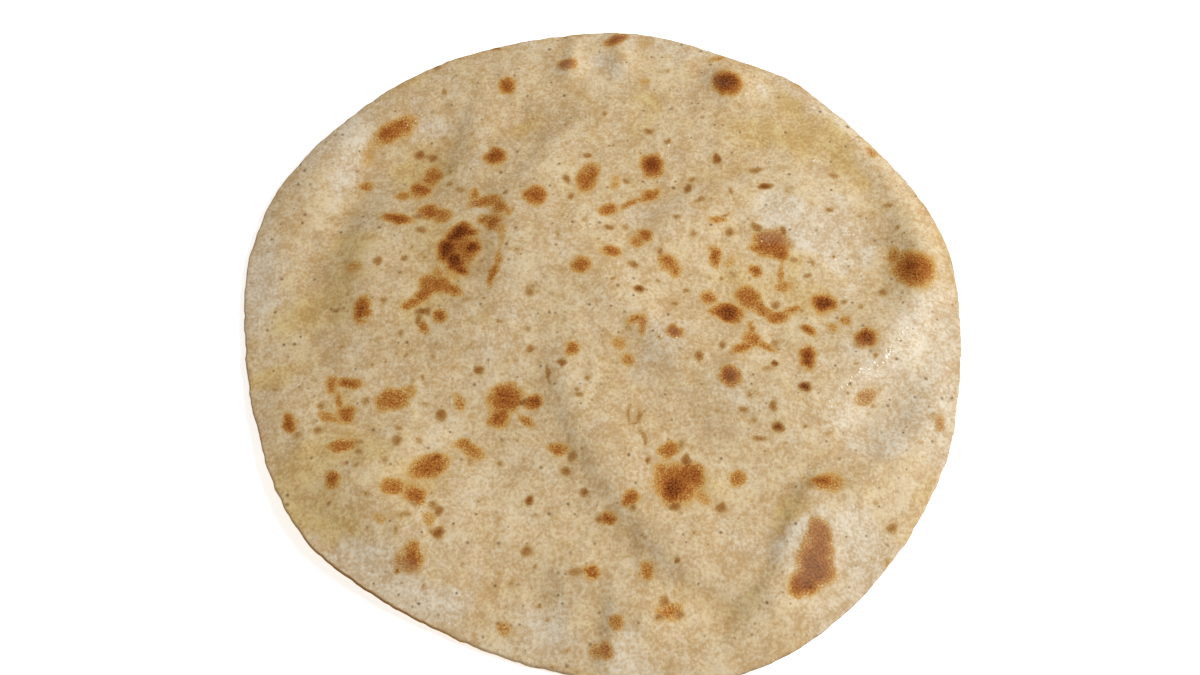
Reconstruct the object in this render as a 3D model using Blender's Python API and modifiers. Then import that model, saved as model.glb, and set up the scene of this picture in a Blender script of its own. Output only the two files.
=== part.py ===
"""Chapati: a flat round of rolled wholewheat dough, baked dry on a hot griddle.

The bread is one solid. Its outline is a rolled circle that wandered outwards in eight places. Its top
is a low dome that steam has raised into puffs and folds, and its underside follows the top one dough
thickness lower, down to the flat surface that the bread lies on. Lengths below are in millimetres, and
the mesh is in metres. Places are measured from the middle that the dough was rolled out from: x to the
right, y away, and bearings in degrees from x towards y.
"""

import math

import bmesh
import bpy
import numpy as np

MM = 0.001

# The rolled disc.
ROLLED_RADIUS = 97.5
EDGE_THICKNESS = 1.6
MIDDLE_THICKNESS = 2.1
THINNEST = 1.2
EDGE_ROUNDING = 0.45

# Steam lifts the middle most, and puffs flatten to this share of their rise where they meet the edge.
DOME_RISE = 3.0
EDGE_SHARE = 0.25

# Where the edge curls up off the surface: bearing, spread in degrees, how high.
CURLED_EDGE = (222, 24, 1.9)

# The frame's origin is the middle of the finished outline, so the rolled middle lies a little off it.
ROLLED_MIDDLE = (0.4, 1.1)

# Cells along each side of the square grid that is rounded into the disc.
GRID_CELLS = 44
FOLD_STEPS = 8

# Straights of a fold's run that lie this close to each other count together, so that bends stay smooth.
FOLD_BLEND = 3.5

# Where the rolling pin pushed the edge out: bearing, spread in degrees, how far.
EDGE_SWELLS = (
    (15, 15, 3.0),
    (55, 10, 2.0),
    (85, 15, 2.5),
    (125, 25, 3.5),
    (160, 20, 5.0),
    (220, 15, 3.0),
    (290, 25, 7.5),
    (325, 25, 2.5),
)

# Steam puffs and the hollows between them: x, y, half length, half width, turn in degrees, rise.
PUFFS = {
    "middle_dome": (-8, 15, 35, 28, 0, 1.75),
    "main_puff": (-21, 20, 29, 20, -10, 2.25),
    "main_puff_foot": (-37, -3, 14, 9, 10, 1.0),
    "middle_lobe": (5, 5, 18, 8, -55, 1.0),
    "middle_knob": (21, -13, 9, 8, 0, 0.75),
    "right_shoulder": (25, 28, 12, 7, 35, 1.0),
    "left_knoll": (-60, 5, 12, 11, 0, 1.25),
    "far_left_knoll": (-81, 40, 8, 8, 0, 0.5),
    "near_left_puff": (-60, -57, 19, 11, -43, 2.5),
    "near_left_knob": (-54, -41, 10, 6, 35, 1.0),
    "near_left_swell": (-41, -62, 14, 10, -20, 1.0),
    "near_left_rim": (-83, -32, 14, 8, -70, 0.75),
    "far_blister": (39, 79, 7.5, 6.5, 0, 2.5),
    "far_bead": (-10, 85, 5, 5, 0, 1.0),
    "far_left_rim": (-36, 81, 16, 9, 20, 1.0),
    "right_hollow": (76, 20, 13, 14, 0, -2.0),
    "right_basin": (57, 14, 25, 14, 10, -1.25),
    "near_right_hollow": (72, -30, 15, 8, 50, -1.5),
    "near_right_basin": (42, -54, 20, 11, 10, -1.0),
    "near_hollow": (2, -67, 13, 9, -35, -1.0),
    "near_left_hollow": (-22, -78, 13, 9, 0, -1.25),
    "near_edge_hollow": (28, -84, 8, 8, 0, -1.25),
    "near_bump": (11, -85, 5, 5, 0, 1.0),
    "near_dip": (-16, -83, 4, 8, 0, -0.5),
    "blister_dip": (30, 84, 4, 7, 0, -0.5),
    "tongue_hollow": (19, -34, 8, 9, 0, -0.5),
    "lobe_hollow": (8, -11, 5, 8, 20, -0.5),
    "left_trough": (-28, -38, 20, 14, -40, -1.0),
    "left_hollow": (-80, 12, 8, 20, 0, -0.75),
    "far_left_basin": (-53, 55, 18, 12, 35, -2.75),
    "far_left_dip": (-45, 41, 11, 8, 0, -0.5),
    "far_left_gully": (-72, 34, 8, 15, -20, -1.5),
    "far_left_pit": (-68, 56, 6, 6, 0, -1.0),
    "far_hollow": (-25, 63, 14, 8, 20, -1.5),
    "far_middle_hollow": (10, 52, 15, 14, 0, -0.25),
}

# Raised folds and sunk creases: the points their crest runs through, how far they spread to the left
# and to the right of that run, and their rise.
FOLDS = {
    "tongue": (((-10, -6), (-10, -22), (-5, -36), (3, -50), (12, -63), (25, -74), (41, -81)), 11, 4.5, 1.25),
    "blister": (((60, -46), (51, -58), (47, -68), (43, -78), (36, -87)), 10, 4, 1.75),
    "near_right_ridge": (((18, -14), (34, -19), (50, -24), (63, -20), (75, -10), (86, 3)), 10, 10, 1.5),
    "right_rim": (
        ((58, 77), (71, 65), (80, 52), (86, 39), (89, 27), (89, 15), (85, 2), (79, -8)),
        8, 6.5, 2.25,
    ),
    "left_rim": (((-95, 20), (-90, 39), (-82, 54), (-66, 71), (-48, 82)), 8, 9, 1.0),
    "left_crease": (((-98, -22), (-85, -17), (-70, -10)), 4, 4, -0.5),
    "near_pleat": (((4, -78), (3, -89), (0, -101)), 8, 3, 1.25),
    "far_pleat": (((-9, 99), (-9, 91), (-10, 83)), 3, 3, 0.25),
    "far_pleat_twin": (((5, 99), (5, 92), (6, 83)), 4, 4, 0.5),
    "right_arc": (((11, 20), (17, 30), (29, 38), (45, 42), (62, 42), (77, 37)), 4, 10, 1.0),
    "left_arc": (((-30, -5), (-28, 8), (-27, 22), (-25, 36), (-19, 48), (-12, 58), (-4, 66)), 5, 10, 0.75),
    "far_left_arc": (((-43, 42), (-40, 52), (-38, 63), (-36, 74)), 3.5, 8, 0.75),
    "left_step": (((-62, 38), (-66, 25), (-67, 10), (-64, -4)), 8, 6, 0.75),
    "near_right_rim": (((92, -17), (87, -30), (78, -41), (68, -50), (58, -59)), 8, 5, 1.0),
}

CRUST_COLOUR = (0.584, 0.434, 0.246, 1.0)
CRUST_ROUGHNESS = 0.75


def clear_scene():
    for thing in list(bpy.data.objects):
        bpy.data.objects.remove(thing, do_unlink=True)


def rounded_square(a, b):
    """Places in a square from -1 to 1 moved into the unit disc, each square ring becoming a circle."""
    across = np.abs(a) > np.abs(b)
    ring = np.where(across, a, b)
    safe = np.where(ring == 0.0, 1.0, ring)
    turn = np.where(across, math.pi / 4 * b / safe, math.pi / 2 - math.pi / 4 * a / safe)
    return ring * np.cos(turn), ring * np.sin(turn)


def bell_at(bearing, middle, spread, rise):
    """A bell round the edge: rise at the middle bearing, and 1/e of it one spread to either side."""
    away = (bearing - middle + 180.0) % 360.0 - 180.0
    return rise * np.exp(-((away / spread) ** 2))


def edge_radius(bearing):
    """The rolled radius plus one bell for each place where the edge was pushed out."""
    return ROLLED_RADIUS + sum(bell_at(bearing, *swell) for swell in EDGE_SWELLS)


def puff_shape(x, y, puff):
    """A bell over a turned ellipse: 1 at its middle, and 1/e where the ellipse ends."""
    middle_x, middle_y, half_length, half_width, turn, _ = puff
    along = math.radians(turn)
    u = ((x - middle_x) * math.cos(along) + (y - middle_y) * math.sin(along)) / half_length
    v = ((y - middle_y) * math.cos(along) - (x - middle_x) * math.sin(along)) / half_width
    return np.exp(-u * u - v * v)


def smooth_run(points):
    """A Catmull-Rom curve through the points, FOLD_STEPS short straights to each span."""
    p = np.array(points, float)
    p = np.vstack([2 * p[0] - p[1], p, 2 * p[-1] - p[-2]])
    t = (np.arange(FOLD_STEPS) / FOLD_STEPS)[:, None]
    spans = []
    for a, b, c, d in zip(p, p[1:], p[2:], p[3:]):
        square_term = 2 * a - 5 * b + 4 * c - d
        cube_term = 3 * b - a - 3 * c + d
        spans.append(0.5 * (2 * b + (c - a) * t + square_term * t**2 + cube_term * t**3))
    return np.vstack(spans + [p[-2:-1]])


def fold_shape(x, y, fold):
    """A bell across the fold's run, wider on one side, that sinks to a third at its two ends.

    Distance, side and place along the run are means over the run's straights, the near ones counting most.
    """
    points, left, right, _ = fold
    run = smooth_run(points)
    step = np.diff(run, axis=0)
    length = np.hypot(step[:, 0], step[:, 1])
    start = np.cumsum(length) - length
    off_x = x[:, None] - run[:-1, 0]
    off_y = y[:, None] - run[:-1, 1]
    t = np.clip((off_x * step[:, 0] + off_y * step[:, 1]) / length**2, 0.0, 1.0)
    squared = (off_x - t * step[:, 0]) ** 2 + (off_y - t * step[:, 1]) ** 2
    share = np.exp((squared.min(axis=1, keepdims=True) - squared) / FOLD_BLEND**2)
    share /= share.sum(axis=1, keepdims=True)
    side = (share * (step[:, 0] * off_y - step[:, 1] * off_x) / length).sum(axis=1)
    along = (share * (start + t * length)).sum(axis=1) / length.sum()
    spread = 0.5 * (left + right) + 0.5 * (left - right) * np.tanh(side / 3.0)
    end = np.clip(np.minimum(along, 1.0 - along) * 4.0, 0.0, 1.0)
    taper = 0.35 + 0.65 * end * end * (3.0 - 2.0 * end)
    return np.exp(-(share * squared).sum(axis=1) / spread**2) * taper


def top_height(x, y, outwards):
    """Height of the top above the surface below; outwards is 0 in the middle and 1 at the edge."""
    relief = sum(puff[-1] * puff_shape(x, y, puff) for puff in PUFFS.values())
    relief += sum(fold[-1] * fold_shape(x, y, fold) for fold in FOLDS.values())
    relief *= 1.0 - (1.0 - EDGE_SHARE) * outwards**16
    curl = bell_at(np.degrees(np.arctan2(y, x)), *CURLED_EDGE) * outwards**6
    height = EDGE_THICKNESS + DOME_RISE * (1.0 - outwards**4) + curl + relief
    return np.maximum(height, THINNEST)


def underside_height(top, outwards):
    """One dough thickness below the top, but never below the surface the bread lies on."""
    thickness = MIDDLE_THICKNESS + (EDGE_THICKNESS - MIDDLE_THICKNESS) * outwards**4
    return np.maximum(top - thickness, 0.0)


def chapati_mesh():
    """A square grid rounded into the disc, extruded to a slab, its two faces set to their heights."""
    slab = bmesh.new()
    bmesh.ops.create_grid(slab, x_segments=GRID_CELLS, y_segments=GRID_CELLS, size=1.0)
    slab.verts.ensure_lookup_table()
    square = np.array([corner.co[:2] for corner in slab.verts])
    unit_x, unit_y = rounded_square(square[:, 0], square[:, 1])
    outwards = np.hypot(unit_x, unit_y)
    radius = edge_radius(np.degrees(np.arctan2(unit_y, unit_x)))
    x = unit_x * radius
    y = unit_y * radius
    top = top_height(x, y, outwards)
    underside = underside_height(top, outwards)

    under_corners = list(slab.verts)
    for corner, place_x, place_y in zip(under_corners, x, y):
        corner.co = ((place_x + ROLLED_MIDDLE[0]) * MM, (place_y + ROLLED_MIDDLE[1]) * MM, 0.0)
    extruded = bmesh.ops.extrude_face_region(slab, geom=slab.faces[:])
    top_corners = [part for part in extruded["geom"] if isinstance(part, bmesh.types.BMVert)]
    height_at = {(corner.co.x, corner.co.y): height for corner, height in zip(under_corners, top)}
    for corner in top_corners:
        corner.co.z = height_at[(corner.co.x, corner.co.y)] * MM
    for corner, height in zip(under_corners, underside):
        corner.co.z = height * MM
    bmesh.ops.recalc_face_normals(slab, faces=slab.faces[:])

    mesh = bpy.data.meshes.new("chapati")
    slab.to_mesh(mesh)
    slab.free()
    return mesh


def crust_material():
    crust = bpy.data.materials.new("baked_wheat_crust")
    crust.use_nodes = True
    shader = crust.node_tree.nodes["Principled BSDF"]
    shader.inputs["Base Color"].default_value = CRUST_COLOUR
    shader.inputs["Roughness"].default_value = CRUST_ROUGHNESS
    shader.inputs["Metallic"].default_value = 0.0
    return crust


def round_edge(bread):
    """Rounds the cut edge of the dough, top and bottom, and leaves the gentle folds alone."""
    rounding = bread.modifiers.new("edge rounding", "BEVEL")
    rounding.width = EDGE_ROUNDING * MM
    rounding.segments = 2
    rounding.limit_method = "ANGLE"
    rounding.angle_limit = math.radians(50)


def build_chapati():
    collection = bpy.data.collections.new("chapati_flatbread")
    bpy.context.scene.collection.children.link(collection)
    bread = bpy.data.objects.new("chapati", chapati_mesh())
    collection.objects.link(bread)
    bread.data.materials.append(crust_material())
    bread.data.shade_smooth()
    bread.data.set_sharp_from_angle(angle=math.radians(50))
    round_edge(bread)


clear_scene()
build_chapati()
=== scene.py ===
"""Looks of a chapati: a round of wholewheat dough, toasted in spots on a hot griddle and wiped with ghee.

The bread is one closed skin: a fine top, a rounded rim and an underside one dough thickness lower. Its
broad form repeats the solid's, and the crumple, the nicked rim and the toasted spots are added to it.
Places are in millimetres from the middle that the dough was rolled out from: x to the right, y away,
bearings in degrees from x towards y.
"""

import math

import bpy
import numpy as np
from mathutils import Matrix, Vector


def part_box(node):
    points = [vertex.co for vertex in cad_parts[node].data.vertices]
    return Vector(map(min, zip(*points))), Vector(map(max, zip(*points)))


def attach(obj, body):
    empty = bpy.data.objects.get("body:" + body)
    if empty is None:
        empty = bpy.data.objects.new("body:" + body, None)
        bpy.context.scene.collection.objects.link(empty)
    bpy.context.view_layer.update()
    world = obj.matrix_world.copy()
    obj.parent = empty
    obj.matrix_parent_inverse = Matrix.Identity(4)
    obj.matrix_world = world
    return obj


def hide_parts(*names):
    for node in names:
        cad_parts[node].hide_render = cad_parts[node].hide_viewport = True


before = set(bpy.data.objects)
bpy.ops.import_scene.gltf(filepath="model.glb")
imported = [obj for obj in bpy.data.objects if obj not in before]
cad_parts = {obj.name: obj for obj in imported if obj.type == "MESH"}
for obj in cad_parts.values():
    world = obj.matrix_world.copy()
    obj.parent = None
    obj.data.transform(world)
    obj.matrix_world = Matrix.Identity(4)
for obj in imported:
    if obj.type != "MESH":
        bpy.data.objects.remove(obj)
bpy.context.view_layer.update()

MM = 0.001
ROLLED_MIDDLE = (0.4, 1.1)

# The rolled disc, as the solid has it.
ROLLED_RADIUS = 97.5
EDGE_THICKNESS = 1.6
MIDDLE_THICKNESS = 2.1
THINNEST = 1.2
DOME_RISE = 3.0
EDGE_SHARE = 0.25
CURLED_EDGE = (222, 24, 1.9)
FOLD_STEPS = 8
FOLD_BLEND = 3.5

# The side of the square that noise covers, and the first seed of each use of chance.
NOISE_SIDE = 260.0
STREWN_SEED = 7
CRUMPLE_SEED = 21
WANDER_SEED = 41
NICK_SEED = 61

# The skin's mesh: cells across the top, of which the underside has half, and rows round the rim. The rim
# stands out by its reach in millimetres, and a roundness below 1 makes it blunter than an ellipse.
TOP_CELLS = 264
RIM_ROWS = 7
RIM_REACH = 0.7
RIM_ROUNDNESS = 0.7

# Where the rolling pin pushed the edge out: bearing, spread in degrees, how far.
EDGE_SWELLS = (
    (15, 15, 3.0),
    (55, 10, 2.0),
    (85, 15, 2.5),
    (125, 25, 3.5),
    (160, 20, 5.0),
    (220, 15, 3.0),
    (290, 25, 7.5),
    (325, 25, 2.5),
)

# Steam puffs and the hollows between them: x, y, half length, half width, turn in degrees, rise.
PUFFS = {
    "middle_dome": (-8, 15, 35, 28, 0, 1.75),
    "main_puff": (-21, 20, 29, 20, -10, 2.25),
    "main_puff_foot": (-37, -3, 14, 9, 10, 1.0),
    "middle_lobe": (5, 5, 18, 8, -55, 1.0),
    "middle_knob": (21, -13, 9, 8, 0, 0.75),
    "right_shoulder": (25, 28, 12, 7, 35, 1.0),
    "left_knoll": (-60, 5, 12, 11, 0, 1.25),
    "far_left_knoll": (-81, 40, 8, 8, 0, 0.5),
    "near_left_puff": (-60, -57, 19, 11, -43, 2.5),
    "near_left_knob": (-54, -41, 10, 6, 35, 1.0),
    "near_left_swell": (-41, -62, 14, 10, -20, 1.0),
    "near_left_rim": (-83, -32, 14, 8, -70, 0.75),
    "far_blister": (39, 79, 7.5, 6.5, 0, 2.5),
    "far_bead": (-10, 85, 5, 5, 0, 1.0),
    "far_left_rim": (-36, 81, 16, 9, 20, 1.0),
    "right_hollow": (76, 20, 13, 14, 0, -2.0),
    "right_basin": (57, 14, 25, 14, 10, -1.25),
    "near_right_hollow": (72, -30, 15, 8, 50, -1.5),
    "near_right_basin": (42, -54, 20, 11, 10, -1.0),
    "near_hollow": (2, -67, 13, 9, -35, -1.0),
    "near_left_hollow": (-22, -78, 13, 9, 0, -1.25),
    "near_edge_hollow": (28, -84, 8, 8, 0, -1.25),
    "near_bump": (11, -85, 5, 5, 0, 1.0),
    "near_dip": (-16, -83, 4, 8, 0, -0.5),
    "blister_dip": (30, 84, 4, 7, 0, -0.5),
    "tongue_hollow": (19, -34, 8, 9, 0, -0.5),
    "lobe_hollow": (8, -11, 5, 8, 20, -0.5),
    "left_trough": (-28, -38, 20, 14, -40, -1.0),
    "left_hollow": (-80, 12, 8, 20, 0, -0.75),
    "far_left_basin": (-53, 55, 18, 12, 35, -2.75),
    "far_left_dip": (-45, 41, 11, 8, 0, -0.5),
    "far_left_gully": (-72, 34, 8, 15, -20, -1.5),
    "far_left_pit": (-68, 56, 6, 6, 0, -1.0),
    "far_hollow": (-25, 63, 14, 8, 20, -1.5),
    "far_middle_hollow": (10, 52, 15, 14, 0, -0.25),
}

# Raised folds and sunk creases: the points their crest runs through, how far they spread to the left
# and to the right of that run, and their rise.
FOLDS = {
    "tongue": (((-10, -6), (-10, -22), (-5, -36), (3, -50), (12, -63), (25, -74), (41, -81)), 11, 4.5, 1.25),
    "blister": (((60, -46), (51, -58), (47, -68), (43, -78), (36, -87)), 10, 4, 1.75),
    "near_right_ridge": (((18, -14), (34, -19), (50, -24), (63, -20), (75, -10), (86, 3)), 10, 10, 1.5),
    "right_rim": (
        ((58, 77), (71, 65), (80, 52), (86, 39), (89, 27), (89, 15), (85, 2), (79, -8)),
        8, 6.5, 2.25,
    ),
    "left_rim": (((-95, 20), (-90, 39), (-82, 54), (-66, 71), (-48, 82)), 8, 9, 1.0),
    "left_crease": (((-98, -22), (-85, -17), (-70, -10)), 4, 4, -0.5),
    "near_pleat": (((4, -78), (3, -89), (0, -101)), 8, 3, 1.25),
    "far_pleat": (((-9, 99), (-9, 91), (-10, 83)), 3, 3, 0.25),
    "far_pleat_twin": (((5, 99), (5, 92), (6, 83)), 4, 4, 0.5),
    "right_arc": (((11, 20), (17, 30), (29, 38), (45, 42), (62, 42), (77, 37)), 4, 10, 1.0),
    "left_arc": (((-30, -5), (-28, 8), (-27, 22), (-25, 36), (-19, 48), (-12, 58), (-4, 66)), 5, 10, 0.75),
    "far_left_arc": (((-43, 42), (-40, 52), (-38, 63), (-36, 74)), 3.5, 8, 0.75),
    "left_step": (((-62, 38), (-66, 25), (-67, 10), (-64, -4)), 8, 6, 0.75),
    "near_right_rim": (((92, -17), (87, -30), (78, -41), (68, -50), (58, -59)), 8, 5, 1.0),
}

# Finer folds of the skin, too narrow for the solid: laid out as FOLDS.
PLEATS = {
    "far_pleat": (((-9, 99), (-9, 91), (-10, 83)), 3, 2.6, 1.0),
    "far_pleat_twin": (((5, 99), (5, 92), (6, 83)), 4, 3, 0.9),
    "near_left_pleat": (((-9, -72), (-8, -82), (-10, -96)), 5, 3, 0.3),
    "near_right_crease": (((90, -3), (77, -13), (67, -21), (61, -31), (57, -43)), 3, 3, 0.35),
}

# Crumple of the baked skin: size of its dents in millimetres, height.
CRUMPLE = ((9.0, 0.15), (4.5, 0.11), (2.4, 0.08))

# The crumple loses this share of its height at the edge, and is pressed flat within so many millimetres
# of the solid's highest point.
CRUMPLE_LOSS = 0.5
TOP_MARGIN = 0.1

# How far the rim falls short of its smooth outline: size of the nicks in millimetres, depth.
RIM_NICKS = ((9.0, 0.4), (3.0, 0.35), (1.5, 0.3))

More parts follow.
